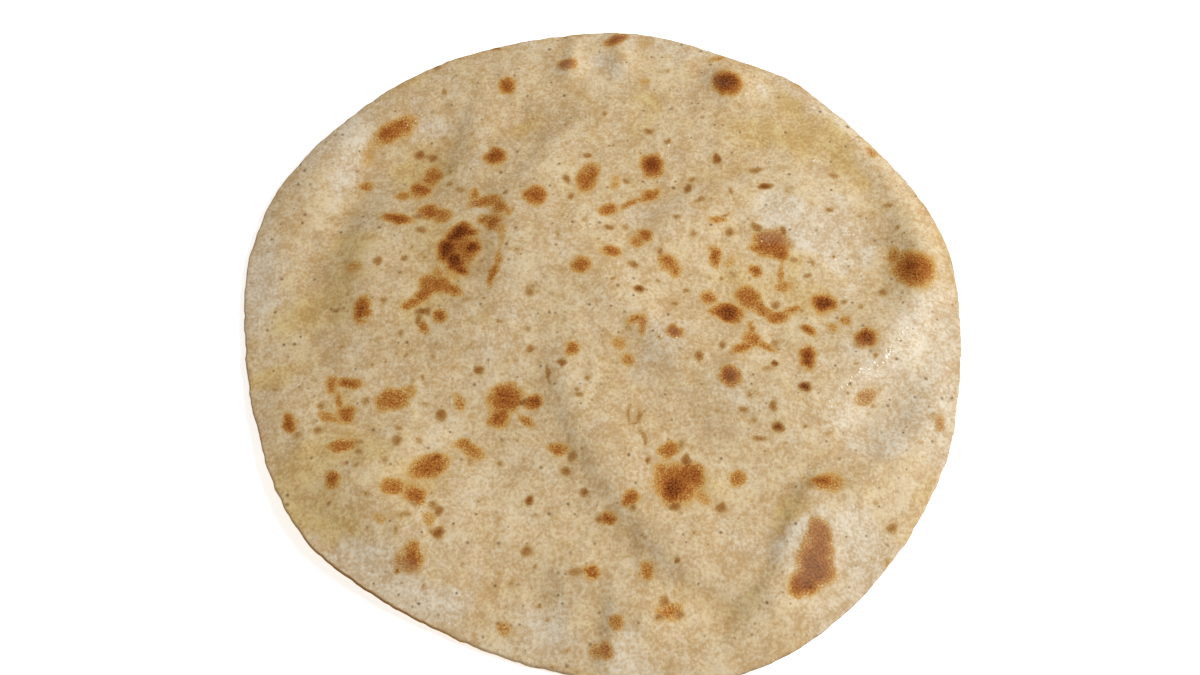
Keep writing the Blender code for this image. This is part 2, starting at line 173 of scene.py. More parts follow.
# Toasted spots, region by region: x, y, half length, half width, turn, depth from 0 raw to 1 nearly burnt.
TOASTED = (
    # Far left.
    (-61.5, 62.5, 6.2, 2.9, 35, 0.6), (-63.5, 61.5, 3, 1.5, 35, 0.76), (-59.5, 64.5, 2.4, 1.5, 35, 0.74),
    (-66, 58, 3, 1.6, 60, 0.2), (-68, 55, 5, 2, 80, 0.2), (-58, 59, 1.5, 1.2, 0, 0.2),
    (-53.7, 54.2, 1.5, 1.1, -15, 0.55), (-62, 52, 1.2, 1.2, 0, 0.2), (-32.3, 93, 1.8, 0.8, 0, 0.45),
    (-50, 86, 1, 1.5, 0, 0.35), (-28.3, 78, 2, 2.4, 0, 0.75), (-47.2, 75.5, 1, 1, 0, 0.35),
    (-31.5, 51.5, 2.9, 2.6, 0, 0.8), (-31.5, 54.3, 1.4, 1.6, 0, 0.6), (-49.8, 53.2, 1.5, 1.3, 0, 0.52),
    (-47, 60, 1.2, 1.2, 0, 0.25), (-38.7, 61, 0.5, 0.5, 0, 0.4), (-51.7, 53.6, 1.2, 0.8, 0, 0.36),
    # Far middle.
    (-7.5, 98, 1, 1, 0, 0.3), (-10.7, 85.5, 2.4, 2.2, 0, 0.65), (-6.7, 75, 1.2, 1.2, 0, 0.2),
    (-10, 64.3, 1, 0.5, 0, 0.25), (-4.3, 52, 1, 1, 0, 0.5), (4, 96.3, 3.2, 1.6, 35, 0.75),
    (13, 95.5, 3, 3, 0, 0.15), (12.7, 79.5, 1.8, 1.8, 0, 0.25), (13.5, 61.2, 1.6, 1, 0, 0.5),
    (18.8, 57, 1.1, 1.1, 0, 0.45), (3, 55.5, 0.5, 0.5, 0, 0.4), (0.5, 67, 0.8, 0.8, 0, 0.35),
    # Far right.
    (37, 79, 3.8, 4.2, 0, 0.92), (35, 90, 3.5, 1, 30, 0.3), (33.5, 67, 1.2, 1.2, 0, 0.22),
    (47.5, 70.7, 0.8, 0.8, 0, 0.25), (78.5, 54.5, 1.3, 1.6, 20, 0.45), (55, 72, 3, 2, 0, 0.12),
    (58.5, 79, 2, 1, -30, 0.2),
    # Left.
    (-68, 43, 1.6, 1.6, 0, 0.5), (-57.3, 38.5, 1.5, 1.7, 0, 0.5), (-53, 41, 2, 2.5, 0, 0.75),
    (-58, 30, 3.8, 1.6, -15, 0.75), (-52.5, 30.8, 1.6, 1, 0, 0.38), (-55.3, 17, 1, 1, 0, 0.45),
    (-55, 26, 0.4, 0.4, 0, 0.4), (-56, 11.7, 0.6, 0.6, 0, 0.4), (-62.5, 16, 1, 1.6, 0, 0.45),
    (-69, 14, 2.5, 2, 0, 0.3), (-71.5, 16.5, 0.4, 0.4, 0, 0.4), (-65.8, 0.5, 2.2, 3.6, -10, 0.72),
    (-60, 3, 1, 1, 0, 0.35), (-52.6, 2.2, 2.2, 1.3, 40, 0.58), (-73.2, 1, 0.4, 0.4, 0, 0.5),
    (-87, 26, 1.2, 1.2, 0, 0.2), (-95, 13.5, 1, 1, 0, 0.15),
    # Main puff.
    (-49, 45.5, 2.2, 3.5, 0, 0.6), (-51.5, 40, 2, 2.2, 0, 0.7), (-44, 42, 1.1, 1.1, 0, 0.4),
    (-40.3, 40, 1.5, 1.2, 0, 0.35), (-44, 47, 0.4, 0.4, 0, 0.4), (-36.7, 38, 1.3, 2, 0, 0.5),
    (-33.5, 35, 4.4, 2, 10, 0.55), (-29.3, 33, 2.8, 2, -40, 0.55), (-27, 30.5, 1.2, 1.8, 0, 0.35),
    (-25.3, 31.5, 0.7, 1, 0, 0.3), (-33.3, 28.8, 1.6, 1.3, 0, 0.55), (-30.6, 27.2, 2, 2.6, 0, 0.6),
    (-28.3, 24.8, 1.2, 1.8, 0, 0.3), (-49, 32.3, 2.8, 2.2, 0, 0.68), (-45.8, 31, 2.8, 2.4, -30, 0.55),
    (-51, 26, 1.2, 1.2, 0, 0.4), (-40.3, 24.3, 3.5, 2.4, 40, 1), (-43.3, 19.3, 3.8, 2.3, 80, 1),
    (-41.3, 15, 3.5, 2.3, -50, 1), (-39.2, 12.6, 1.9, 1.3, -35, 0.9), (-37.8, 24.6, 2.6, 1.2, -15, 0.88),
    (-36.4, 19.3, 2, 1.6, 15, 1), (-39.5, 19, 4.6, 5.6, 0, 0.58), (-45.5, 8, 3.6, 2.6, -25, 0.6),
    (-48.3, 8.5, 1.8, 2.6, -10, 0.56), (-41.6, 6.6, 3.4, 1.6, -30, 0.58), (-48.9, 5, 3.4, 1.6, 40, 0.64),
    (-46, 11.5, 1.8, 2, 0, 0.35), (-42, 10.8, 2.2, 1.4, -20, 0.26), (-28.5, 21, 0.7, 3, 0, 0.25),
    (-29, 15.5, 0.8, 2.8, 0, 0.45), (-30.3, 10, 0.9, 3, -15, 0.65), (-19.5, 36.5, 3, 2.8, 0, 0.7),
    (-27.7, 37.7, 0.5, 0.5, 0, 0.6), (-10.5, 43, 1.4, 1, -60, 0.5), (-4.2, 43.7, 2.7, 5, -20, 0.62),
    (-9, 36.8, 1, 1, 0, 0.5), (-11.5, 29.5, 0.5, 0.5, 0, 0.3), (-5, 28.5, 0.5, 0.5, 0, 0.3),
    (-12.5, 22.5, 0.4, 1.2, 0, 0.3), (-6, 13, 2.4, 2.2, 0, 0.66), (-20.5, 5, 1, 1.5, 0, 0.4),
    (-37.3, 3, 1, 1, 0, 0.3), (-22.5, 21, 0.4, 0.4, 0, 0.4), (-24, 17.5, 0.4, 0.4, 0, 0.4),
    (-33.5, 14.7, 0.4, 0.4, 0, 0.4), (-32.5, 3.3, 0.4, 0.4, 0, 0.4),
    # Middle.
    (14.2, 48.5, 2.8, 3.8, 0, 0.9), (33.1, 51, 1.1, 1.5, 0, 0.7), (43.7, 47, 1.8, 0.9, 20, 0.4),
    (46.3, 40.7, 1.9, 0.7, 5, 0.8), (25.8, 43.3, 1, 1, 0, 0.45), (24.2, 40.2, 1, 1.5, 0, 0.55),
    (6.8, 43, 1, 1, 0, 0.4), (3.5, 42, 1.3, 2.5, 0, 0.3), (36.5, 38.5, 0.8, 1.5, 0, 0.3),
    (27.5, 35.7, 1.4, 0.7, 40, 0.4), (13.2, 37.8, 3.2, 1.5, 35, 0.64), (6.5, 33.7, 2, 1, 25, 0.45),
    (8.5, 35.3, 3.2, 0.9, 28, 0.5), (1.5, 32, 2.3, 1.7, 45, 0.66), (21, 29.5, 0.8, 0.8, 0, 0.4),
    (32.4, 29.2, 2.4, 1, 0, 0.52), (34.6, 30.8, 1.8, 0.5, 35, 0.4), (35.8, 25.5, 1, 1.4, 0, 0.5),
    (25, 24, 1, 1.3, 0, 0.35), (1.5, 26, 1.6, 1, 0, 0.45), (11.8, 23.3, 2, 1.6, 0, 0.72),
    (9.3, 21.4, 1.8, 1.7, 0, 0.45), (6.5, 26, 1, 1, 0, 0.3), (47.3, 22.3, 4.8, 4.2, 0, 0.68),
    (49.5, 19.5, 2.2, 2.4, 0, 0.72), (44, 20.5, 2.2, 1.3, 0, 0.64), (43.3, 27.5, 1.8, 1, -50, 0.45),
    (50.8, 26.6, 1, 1.4, 0, 0.6), (2.2, 17.5, 2.1, 1.6, 0, 0.66), (8.5, 13.5, 1.2, 1, -30, 0.5),
    (31.3, 17.7, 1.5, 2.8, 0, 0.66), (35.5, 16, 1.2, 2, 0, 0.25), (18.2, 14.8, 2.3, 2.6, 30, 0.58),
    (20, 12.3, 1.5, 1.6, 0, 0.6), (16.5, 18, 0.8, 1.2, 0, 0.4), (42.5, 13.2, 1.5, 1.7, 0, 0.72),
    (36.5, 12.5, 0.8, 0.8, 0, 0.35), (49.6, 13, 0.8, 2.8, 0, 0.4), (9.5, 6.3, 1.3, 1, 0, 0.85),
    (15.5, 8.7, 0.8, 0.8, 0, 0.35), (23, 6.7, 0.7, 0.7, 0, 0.45), (11.5, 8.5, 0.8, 0.8, 0, 0.25),
    (3.2, 9, 0.4, 0.4, 0, 0.5), (33.4, 11, 0.4, 0.4, 0, 0.5), (19.5, 2, 0.4, 0.4, 0, 0.5),
    (29, 4.2, 1.7, 1.7, 0, 0.56), (29, 6, 2.2, 1.5, 0, 0.2), (40, 5, 3.1, 3.4, 20, 0.62),
    (43.5, 1.2, 2.8, 1.6, -45, 0.6), (50.3, 8.7, 2, 1.7, 0, 0.42),
    # Right.
    (87, 14.5, 5.3, 5.3, 0, 0.7), (86.5, 15.5, 2.8, 2.8, 0, 0.84), (82, 19.5, 1.8, 2.2, 0, 0.5),
    (90, 12.5, 1.5, 1.5, 0, 0.45), (86, 10, 2, 1.5, 0, 0.5), (61, 3.5, 2.5, 2.5, 0, 0.95),
    (61, 3.5, 3.6, 3.6, 0, 0.35), (66.5, 4, 1, 0.6, 0, 0.35), (71, 2, 1, 1, 0, 0.3),
    (77, 7, 1, 1.2, 0, 0.4), (64.5, 34, 1.2, 0.7, 20, 0.45), (66.5, 45.7, 1.5, 1, 0, 0.35),
    (69.7, 23.3, 0.6, 0.6, 0, 0.25), (81.5, 35.5, 1.5, 1, 0, 0.35), (83.5, 29, 0.6, 0.6, 0, 0.4),
    (88.5, 39.3, 0.8, 0.8, 0, 0.25), (53.7, 17.3, 1.5, 1, 0, 0.35), (58.6, 17, 0.7, 1.1, 0, 0.35),
    (57, 12.7, 0.8, 0.8, 0, 0.4), (53, 39.5, 0.4, 0.4, 0, 0.4), (54.5, 1, 0.4, 0.4, 0, 0.4),
    (95.5, 9, 0.7, 0.7, 0, 0.2), (64.6, 19.5, 0.4, 0.4, 0, 0.4),
    # Near left edge.
    (-55, -6.5, 0.9, 0.9, 0, 0.35), (-60.5, -8.5, 1, 1, 0, 0.2), (-53.5, -13, 0.4, 0.4, 0, 0.4),
    (-62.5, -16, 0.4, 0.4, 0, 0.4), (-71, -10, 0.4, 0.4, 0, 0.4), (-72.6, -21.5, 1.5, 2.4, 0, 0.5),
    (-68, -21.3, 3, 1.3, 0, 0.66), (-70, -26.2, 2.2, 1, -74, 0.46), (-68, -30.5, 2, 2.3, 0, 0.66),
    (-72.5, -31.5, 3, 1.3, -20, 0.4), (-75, -28, 1, 1.5, 0, 0.35), (-82.5, -33, 3, 1.6, -65, 0.72),
    (-80, -37, 1.2, 1, 0, 0.3), (-74.7, -35.2, 0.9, 0.9, 0, 0.4), (-88, -22.5, 0.4, 0.4, 0, 0.5),
    (-68, -39.5, 3.2, 1.8, 10, 0.56), (-64, -38.6, 1.6, 0.8, 0, 0.3), (-64, -41.5, 1, 1, 0, 0.35),
    (-67, -44.7, 0.4, 0.4, 0, 0.5), (-63.7, -46, 1, 1, 0, 0.3), (-69.7, -49.8, 1.9, 2, 0, 0.72),
    (-56, -26.5, 4, 3, 0, 0.56), (-51.5, -24, 2, 1.8, 0, 0.35), (-63.5, -26.8, 1.2, 1.2, 0, 0.3),
    (-62, -32, 1, 1, 0, 0.2), (-54, -38.5, 1.3, 1.2, 0, 0.4), (-53, -34.5, 1, 1, 0, 0.35),
    (-56, -44, 1, 1, 0, 0.3), (-84.5, -43, 1, 1, 0, 0.2), (-70.3, -56, 0.5, 0.5, 0, 0.4),
    (-60.3, -53.8, 1.3, 1, 0, 0.3), (-56.5, -60.7, 2, 1.3, 0, 0.25), (-52.3, -64, 0.7, 1.2, 0, 0.3),
    (-59.5, -63.3, 0.4, 0.4, 0, 0.3),
    # Near left.
    (-49.3, -0.3, 1.7, 1.1, 0, 0.58), (-50.2, -2.8, 0.9, 1.5, 0, 0.45), (-48.6, -5, 1.2, 1.9, 20, 0.6),
    (-47.4, -0.6, 1, 1, 0, 0.5), (-44, -2, 1.5, 1.8, 0, 0.74), (-28.2, -4, 0.9, 0.5, 0, 0.4),
    (-20.5, -6.3, 0.8, 0.8, 0, 0.3), (-19.6, -11.8, 1.1, 1.1, 0, 0.5), (-23.7, -15, 0.8, 0.8, 0, 0.25),
    (-33.2, -17.5, 1.2, 1.2, 0, 0.56), (-40.3, -17, 1, 0.8, 0, 0.3), (-35.5, -11, 1, 1, 0, 0.2),
    (-48.5, -20, 0.4, 0.4, 0, 0.4), (-14.5, -19, 2.5, 0.5, -79, 0.4), (-26, -26, 4.2, 3.8, 0, 0.7),
    (-27.5, -31.5, 2.3, 2.2, 0, 0.7), (-21, -27, 1.5, 1, 0, 0.62), (-18.3, -27, 1.8, 1.8, 0, 0.86),
    (-20.3, -32.4, 2.3, 1, -38, 0.5), (-38, -27, 1.2, 2, 0, 0.4), (-47, -27.5, 1, 0.5, 0, 0.3),
    (-42.6, -30.8, 1.2, 1.4, 0, 0.56), (-47.8, -38.3, 1.3, 1, 0, 0.3), (-36.5, -39, 2.3, 1.3, 0, 0.5),
    (-34, -41, 3, 2, -40, 0.5), (-34.5, -44, 1.2, 1.2, 0, 0.3), (-26.5, -44.7, 0.9, 0.9, 0, 0.35),
    (-22.7, -38, 0.8, 0.8, 0, 0.25), (-45, -45.5, 4.7, 2.9, 25, 0.62), (-46, -47, 2, 1.5, 25, 0.78),
    (-43.5, -43.5, 1.8, 1.4, 25, 0.78), (-53.8, -51.8, 2.5, 2, 0, 0.6), (-49.5, -52.3, 1.5, 1.5, 0, 0.45),
    (-48.3, -54, 2.4, 2.2, 0, 0.66), (-48.5, -56.3, 1.2, 1, 0, 0.4), (-42, -58.2, 1.3, 1.3, 0, 0.5),
    (-43.5, -56.7, 1.5, 1.2, 0, 0.35), (-44.2, -60.5, 1.6, 2, 0, 0.3), (-42, -64.2, 1.3, 1.3, 0, 0.66),
    (-50.5, -59.8, 1.8, 1, 0, 0.3), (-31.8, -55, 0.8, 0.6, 0, 0.3), (-18.5, -55.2, 1.1, 1.1, 0, 0.72),
    (-26.5, -59.7, 0.6, 0.6, 0, 0.3), (-12.3, -59.8, 0.8, 0.6, 0, 0.2), (-19, -68.1, 1.2, 1, 0, 0.5),
    (-48, -70.5, 2.5, 3.2, 0, 0.6), (-47.7, -71.2, 1.5, 1.5, 0, 0.72), (-51.2, -71.5, 1.8, 2.2, 0, 0.38),
    (-23.5, -76.3, 0.9, 0.9, 0, 0.25), (-24.3, -88, 1.3, 1.6, 0, 0.4), (-25.6, -86.8, 0.8, 0.8, 0, 0.35),
    (-26, -73.7, 0.6, 0.4, 0, 0.3), (-15.9, -82.3, 0.35, 0.35, 0, 0.6), (-14.3, -57.3, 0.35, 0.35, 0, 0.4),
    (-12.5, -97.8, 0.35, 0.35, 0, 0.4), (-8.6, -94, 0.8, 0.8, 0, 0.25), (-51.8, -74, 0.5, 0.4, 0, 0.7),
    # Near middle.
    (-8.2, -11.7, 1.5, 1.8, 0, 0.66), (-10.6, -15.7, 1.1, 0.9, 0, 0.56), (-4.7, -20.6, 0.9, 0.9, 0, 0.35),
    (-6.6, -24, 0.8, 0.8, 0, 0.35), (-6.3, -25.5, 0.9, 0.5, 0, 0.45), (-1.5, -27, 1, 1, 0, 0.2),
    (-12, -40.3, 2.4, 1.3, -10, 0.56), (-8.2, -42.3, 1.3, 1.3, 0, 0.4), (-9.3, -47, 1.4, 1.1, 0, 0.5),
    (-4.8, -53, 1.2, 1, 0, 0.56), (11, -4.5, 0.9, 2.7, 0, 0.6), (8.8, -3.2, 2.4, 1.4, 30, 0.48),
    (6.5, -6, 1, 1, 0, 0.3), (19.2, -6.8, 1.8, 1.4, -20, 0.8), (4.3, -10.2, 2, 1.5, 0, 0.35),
    (6.7, -15, 1.3, 1.8, 0, 0.5), (14.2, -16.7, 0.4, 0.4, 0, 0.4), (24, -19.5, 1, 1, 0, 0.25),
    (26, -14.6, 1, 1.6, 0, 0.5), (22.3, -15, 0.4, 0.4, 0, 0.4), (6.9, -31, 0.6, 2.2, 0, 0.4),
    (9.8, -31, 0.6, 2.2, 0, 0.4), (8.3, -28.7, 1.2, 0.5, 0, 0.3), (8.3, -33.2, 1.2, 0.5, 0, 0.35),
    (10.7, -37.3, 2.5, 0.6, -61, 0.4), (15.3, -35, 0.7, 0.7, 0, 0.25), (23, -40, 0.8, 0.8, 0, 0.25),
    (5, -37.5, 0.8, 0.8, 0, 0.2), (17, -41.4, 2.6, 1.7, 30, 0.6), (20, -39.5, 1, 1, 0, 0.35),
    (11.7, -44, 0.4, 0.4, 0, 0.6), (17.8, -51.8, 3.3, 3.7, 0, 0.92), (18.8, -50.8, 5.2, 5.2, 0, 0.7),
    (22.8, -48.3, 3, 3.6, 20, 0.74), (21.8, -44, 1, 1.6, 0, 0.6), (15.2, -46.8, 2.2, 2, 0, 0.5),
    (18.3, -57, 1.5, 1.2, 0, 0.6), (25.5, -53.8, 2.6, 1.6, -30, 0.32), (1.3, -59.8, 2, 1.2, 0, 0.76),
    (-1, -59.8, 1, 1, 0, 0.5), (7, -54.7, 1.6, 1.7, 0, 0.66), (7.7, -57, 0.6, 0.9, 0, 0.5),
    (30.2, -57, 1.3, 1.3, 0, 0.56), (11.2, -73.5, 1.7, 1.7, 0, 0.5), (-3.5, -74, 1.8, 1.3, 0, 0.66),
    (-7, -74, 1.8, 0.9, 0, 0.35), (16.5, -84, 3, 2.4, 0, 0.46), (14.8, -81.5, 1.2, 1.5, 0, 0.45),
    (14.3, -86, 1.5, 1.2, 0, 0.42), (18.8, -84.8, 1.2, 1, 0, 0.45), (16.3, -84.7, 1.6, 1.3, 0, 0.58),
    (3.5, -87.2, 1.6, 1.6, 0, 0.5), (0.3, -94, 1.5, 1.8, 0, 0.6), (-1.8, -94.3, 1.4, 1.4, 0, 0.45),
    (18.8, -71.2, 0.35, 0.35, 0, 0.8), (22.8, -64, 0.35, 0.35, 0, 0.4), (9.9, -64.5, 0.35, 0.35, 0, 0.4),
    # Near right.
    (34.2, -0.4, 3.5, 2.5, -10, 0.9), (30.4, 0, 1.9, 1.2, 0, 0.6), (47.5, -1.3, 2.7, 1.7, 0, 0.64),
    (52, 1, 2.4, 0.9, 15, 0.52), (47.3, 2.6, 1, 1.2, 0, 0.45), (40.5, -5, 0.9, 2.2, 0, 0.5),
    (40.3, -8.5, 2.2, 2.1, 0, 0.56), (37.5, -11.3, 2.4, 1.2, 20, 0.62), (44, -10.8, 2.8, 0.9, -20, 0.52),
    (46.7, -9.5, 0.9, 1.3, 0, 0.3), (32.2, -10.4, 0.8, 1.4, 0, 0.45), (34.7, -13, 0.7, 0.7, 0, 0.4),
    (34, -20, 2.1, 2.2, 0, 0.92), (45.8, -16.2, 0.5, 0.5, 0, 1), (44, -17.5, 1, 0.8, 0, 0.3),
    (39, -25.5, 0.7, 1, 0, 0.35), (41, -25.3, 0.7, 0.7, 0, 0.25), (45.1, -28.6, 0.7, 1.2, 0, 0.5),
    (36.6, -29.3, 1.1, 0.8, 0, 0.45), (39.5, -32.2, 0.8, 0.8, 0, 0.35), (46.3, -34.7, 1, 1, 0, 1),
    (47.8, -39, 0.4, 0.4, 0, 0.4), (40.7, -37.8, 1.4, 0.7, 0, 0.45), (30, -29.5, 1, 1, 0, 0.25),
    (35, -48.6, 1.8, 1.4, 30, 0.5), (36.5, -43.2, 1, 1, 0, 0.2), (66.5, -2.2, 1.2, 1.7, 0, 0.4),
    (62.5, -4.7, 1.5, 1.5, 0, 0.32), (56, -5.4, 2, 1.1, -32, 0.82), (54, -4.3, 1, 0.8, 0, 0.35),
    (71, -8.1, 2.6, 2.3, 0, 0.9), (71.2, -8, 3.5, 3, 0, 0.32), (55.2, -13.8, 1.8, 2.9, 0, 0.94),
    (55, -16.3, 1.5, 1.5, 0, 0.6), (53.6, -23.1, 1, 1, 0, 1), (70.2, -25.2, 3.2, 1.6, 28, 0.45),
    (52.8, -33.8, 0.5, 0.5, 0, 0.45), (58.6, -36, 0.8, 0.8, 0, 0.3), (53.7, -39.3, 0.8, 0.8, 0, 0.2),
    (89.3, -32.5, 1.3, 2, 0, 0.42), (88, -30.5, 2, 1.5, 0, 0.15), (56.8, -49.6, 2.4, 1.4, 10, 0.74),
    (58.6, -49.9, 2.9, 2.2, 10, 0.4), (54, -50.5, 1.5, 1, 0, 0.3), (72.9, -13.6, 0.4, 0.4, 0, 0.5),
    (68.3, -16, 0.4, 0.4, 0, 0.4), (74, -61.7, 1.2, 1.2, 0, 0.45), (77.5, -64, 0.4, 0.4, 0, 0.3),
    (72, -70.5, 1, 0.8, 0, 0.3), (68, -70, 0.5, 0.5, 0, 0.25), (58, -84, 1, 0.8, 0, 0.2),
    # Blister.
    (54.9, -64, 2.5, 3.2, 10, 0.7), (55, -67.6, 2.6, 2.6, 0, 0.78), (53.1, -72.6, 4.2, 4.7, 0, 0.86),
    (50.3, -77, 3.7, 2.9, 20, 0.84), (48.2, -79.3, 1.7, 1.3, 0, 0.7), (53.6, -70.5, 4.2, 8, -14, 0.45),
)

# Smaller spots scorch to umber, and larger ones toast to red brown.
SMALL_SPOT = 1.4

# Strewn spots fill this share of the disc's area, and are at least this wide for their length.
STREWN_AREA = 0.94
STREWN_WIDTH = 0.6

# Freckles strewn over the top: how many, least and greatest half length, least and greatest depth.
FRECKLES = (300, (0.3, 0.7), (0.1, 0.35))

# Toasted spots strewn over the underside, likewise.
UNDERSIDE_SPOTS = (190, (1.0, 4.6), (0.3, 0.85))

# Width of a spot's fading edge in millimetres: a fixed part, and a part for each millimetre of its size.
# Past SPOT_END such widths nothing is left.
SPOT_FADE = (0.28, 0.11)
SPOT_END = 30.0

# How far spots wander from their plain ellipses: size of the wander in millimetres, distance.
SPOT_WANDER = ((3.2, 0.5), (1.5, 0.45))

# How far soaked and floury patches wander from theirs.
PATCH_WANDER = ((17.0, 5.0), (7.0, 3.0), (3.5, 1.5))

# Where ghee has soaked in: x, y, half length, half width, turn, amount.
GHEE = (
    (-54, 49, 10, 10, 40, 1.2), (-55, 79, 8, 3, 10, 0.9), (-23, 60, 8, 6, 20, 0.9), (-22, 82, 4, 7, 0, 0.4),
    (12, 70, 9, 9, 0, 0.7), (48, 59, 12, 7, -10, 1.1), (68, 55, 6, 11, 20, 1.1), (57, 73, 6, 6, 0, 1),
    (76, 39, 4, 7, 30, 0.8), (40, 6, 14, 7, 0, 0.6), (60, 1, 8, 6, 0, 0.65), (52, 16, 4, 9, 0, 0.6),
    (35, 16, 7, 4, 0, 0.5), (-48, 20, 9, 12, 20, 0.6), (-50, 2, 12, 8, 0, 0.7), (-68, 20, 6, 6, 0, 0.9),
    (-80, 1, 9, 10, 0, 1), (-88, -21, 8, 4, 10, 1), (-72, -28, 6, 7, 0, 0.7), (-78, -52, 12, 8, 50, 0.9),
    (-70, -64, 9, 6, -40, 1), (-66, -42, 8, 6, 0, 0.9), (-50, -52, 13, 9, 20, 0.7), (27, -50, 7, 9, 0, 0.6),
    (-12, -71, 14, 6, -10, 0.45), (32, -84, 8, 5, -40, 0.5), (-8, -98, 8, 3, 0, 0.8),
    (-10, 2, 5, 5, 0, 0.35), (0, 40, 16, 10, 0, 0.3), (35, 45, 25, 6, 10, 0.35), (47, -58, 7, 5, 0, 0.5),
    (84, -48, 3, 8, -30, 0.8), (76, -60, 3, 8, -35, 0.8), (-72, 14, 5, 20, 0, 0.5),
    (-5, -44, 3, 14, 25, 0.4), (44, -66, 3, 12, -28, 0.6),
)

# Where dry flour still clings: x, y, half length, half width, turn, amount.
FLOUR = (
    (60, 29, 14, 7, -10, 1.2), (45, 33, 8, 5, 0, 0.9), (68, 20, 6, 5, 0, 1), (78, -20, 18, 12, 30, 1),
    (68, -32, 10, 9, 45, 1), (88, -5, 8, 14, -15, 0.8), (90, -38, 8, 14, -10, 0.8),
    (72, -72, 12, 16, 40, 0.6), (60, -62, 7, 7, 0, 0.7), (53, -71, 6, 11, -15, 1),
    (-52, -76, 12, 6, -15, 1.2), (-37, -80, 9, 6, 0, 1), (-12, -88, 9, 6, 0, 0.8), (8, -94, 8, 6, 0, 0.8),
    (-42, -34, 6, 5, 0, 0.5), (13, -14, 9, 9, 0, 0.7), (36, -24, 9, 8, 0, 0.6), (38, -38, 8, 5, 0, 0.4),
    (32, -68, 10, 6, 0, 0.5), (44, -72, 6, 9, -20, 0.7), (-75, 50, 6, 14, -15, 1.1),
    (-76, 65, 7, 5, 45, 0.6), (-52, 65, 5, 6, 30, 1.1), (-37, 59, 4, 4, 0, 0.7), (-40, 50, 4, 7, 50, 0.6),
    (44, 75, 3.5, 4, 0, 1), (33, 80, 3, 7, 0, 0.7), (-9, 83, 3.5, 4, 0, 1), (5, 86, 5, 8, 0, 0.8),
    (-22, 0, 8, 6, 0, 0.5), (10, 30, 7, 6, 0, 0.5), (-30, -13, 6, 5, 0, 0.5), (-38, 30, 4, 4, 0, 0.6),
    (-95, 10, 6, 18, 0, 0.7), (20, 33, 6, 5, 0, 0.4), (70, 8, 5, 4, 0, 0.5),
)

# Amounts below the first leave no patch, and above the second a full one.
PATCH_EDGES = (0.15, 0.85)

# The rim stays a little floury from this share of the radius outwards, up to so much.
FLOURY_RIM = (0.93, 0.55)

# Painted shade: the crumb is darker and warmer where the top lies below its neighbourhood. How many cells
# away that neighbourhood ends, and how many millimetres below its mean count in full.
CREASE_CELLS = 4
CREASE_DEPTH = 0.12

# Beads of ghee that still stand on the skin, glossy and domed, with a painted highlight in their colour: x,
# y, half length, half width, turn, amount.
BEADS_AND_GLINTS = (
    (61.5, 58.8, 0.9, 2, -30, 1.2), (61.3, 51, 0.9, 1.4, -20, 1.2), (19.3, 56, 0.9, 0.9, 0, 1.1),
    (44, 76, 2.5, 3, 0, 0.8), (28, 70, 2, 2, 0, 0.6), (57, 52, 3, 2, 0, 0.5),
    (69.5, 25.5, 3.5, 2.5, 0, 0.8), (65, 19, 1, 1.5, 0, 0.8), (76, 25, 2, 3, 0, 0.6),
    (8, -55, 1, 1, 0, 0.8), (-56, 65, 2.5, 2, 0, 0.8), (-9, 34.5, 1.2, 1.2, 0, 0.8),
    (16, -7.7, 0.9, 0.8, 0, 1), (20, -9, 0.9, 0.8, 0, 0.9), (47.7, -44.5, 1, 1.5, 0, 0.8),
    (46, 24, 3, 3, 0, 0.6), (54.8, -14.8, 0.8, 0.8, 0, 0.6), (56, 64, 4, 3, 0, 0.4),
    (81, -7, 4.5, 1, 50, 1.6), (76.5, -13, 3, 1.1, 52, 1.6), (70.5, -17.3, 4.5, 1, 28, 1.6),
    (65, -22, 2.2, 1.5, 30, 1), (63.5, -23.8, 1, 1, 0, 1), (60.2, -28.5, 1, 3.5, 0, 1.4),
    (-3, 47, 2, 1, 60, 0.6), (24, 47, 8, 1.5, 20, 0.4), (-15, -9, 3, 3, 0, 0.4),
    (-6, -13, 2.5, 1, -50, 0.6), (88, 62, 3, 3, 0, 0.4), (-65, -45, 8, 6, 0, 0.35),
)

# Painted shadow on the side of the rim, where the curled edge stands off the table: bearing, spread, depth.
RIM_SIDE_SHADOW = (232, 20, 0.7)

# Noises in the crust: millimetres between their features, detail, roughness.
CRUST_NOISES = {
    "clouds": (11.0, 1.0, 0.9),
    "mottle": (3.6, 2.0, 0.9),
    "grain": (0.9, 2.0, 1.0),
    "stains": (6.0, 2.0, 0.8),
    "fray": (0.5, 2.0, 0.9),
    "dents": (1.6, 4.0, 0.65),
}

# The camera: its aim from the object's origin, distance, elevation in degrees, and lens.
CAMERA_AIM = (-0.4, -5.1, 1.5)
CAMERA_DISTANCE = 410.0
CAMERA_ELEVATION = 62.0
CAMERA_LENS = 45.0
CAMERA_SENSOR = 36.0

# The window light: distance, elevation, bearing, side of its square, power in watts.
WINDOW_DISTANCE = 1500.0
WINDOW_ELEVATION = 32.0
WINDOW_BEARING = 4.0
WINDOW_SIZE = 740.0
WINDOW_POWER = 27.2
WINDOW_COLOUR = "FAFDFF"
ROOM_LIGHT = 0.46
ROOM_COLOUR = "FFF9F1"
TABLE_HALF_SIDE = 2500.0
TABLE_GLOW = 0.55


def linear(hex_colour):
    """A linear colour from an sRGB hex value such as "C9B088"."""
    shares = [int(hex_colour[i:i + 2], 16) / 255.0 for i in (0, 2, 4)]
    return tuple(s / 12.92 if s <= 0.04045 else ((s + 0.055) / 1.055) ** 2.4 for s in shares) + (1.0,)


def per_metre(size_mm):
    """The scale of a pattern whose features are this many millimetres apart."""
    return 1.0 / (size_mm * MM)


